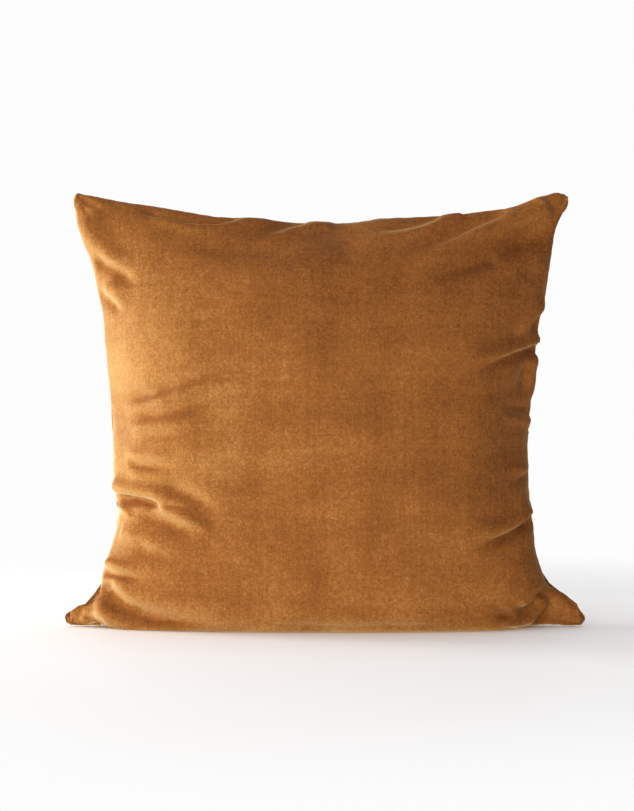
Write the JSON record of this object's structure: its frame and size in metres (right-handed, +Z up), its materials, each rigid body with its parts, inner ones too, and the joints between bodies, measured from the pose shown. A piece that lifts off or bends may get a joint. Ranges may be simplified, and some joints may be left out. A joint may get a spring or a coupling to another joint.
{
  "type": "throw pillow",
  "caption": "Plump square velvet throw pillow standing on its bottom edge, with pointed corners, knife-edge seams and a concealed zip in the bottom seam.",
  "frame": {"origin": "middle of the base, on the surface that the pillow stands on", "axes": "+X across the pillow to the right seen from its front, +Y from the front towards the back, +Z up"},
  "size_m": [0.495, 0.196, 0.411],
  "materials": {
    "velvet": "matte cotton velvet, ochre brown",
    "cambric": "plain undyed cotton",
    "fibre": "loose polyester fibre",
    "thread": "spun polyester sewing thread",
    "thread_insert": "spun polyester sewing thread",
    "tape": "woven polyester tape",
    "nylon": "moulded nylon coil",
    "metal": "dull antique brass",
    "satin": "woven satin ribbon, blank"
  },
  "bodies": {
    "cushion": {"cover_front_panel": "velvet", "cover_back_panel": "velvet", "insert_casing_front": "cambric", "insert_casing_back": "cambric", "insert_fill": "fibre", "cover_seam_thread_left": "thread", "cover_seam_thread_right": "thread", "cover_seam_thread_top": "thread", "cover_seam_thread_bottom_left": "thread", "cover_seam_thread_bottom_right": "thread", "insert_seam_thread_left": "thread_insert", "insert_seam_thread_right": "thread_insert", "insert_seam_thread_top": "thread_insert", "zip_tape_front": "tape", "zip_tape_back": "tape", "zip_coil_front": "nylon", "zip_coil_back": "nylon", "zip_stitching_front": "thread", "zip_stitching_back": "thread", "zip_top_stop_front": "metal", "zip_top_stop_back": "metal", "zip_bottom_stop": "metal", "cover_care_label": "satin", "insert_label": "satin"},
    "slider": {"zip_slider": "metal"},
    "pull": {"zip_pull_tab": "metal"}
  },
  "joints": [
    {"name": "zip_slide", "type": "slide", "parent": "cushion", "child": "slider", "axis": [-1, 0, 0], "range_m": [0, 0.37]},
    {"name": "pull_swing", "type": "hinge", "parent": "slider", "child": "pull", "pos_m": [0.188, 0, 0.0036], "axis": [0, -1, 0], "range_deg": [0, 165]}
  ]
}
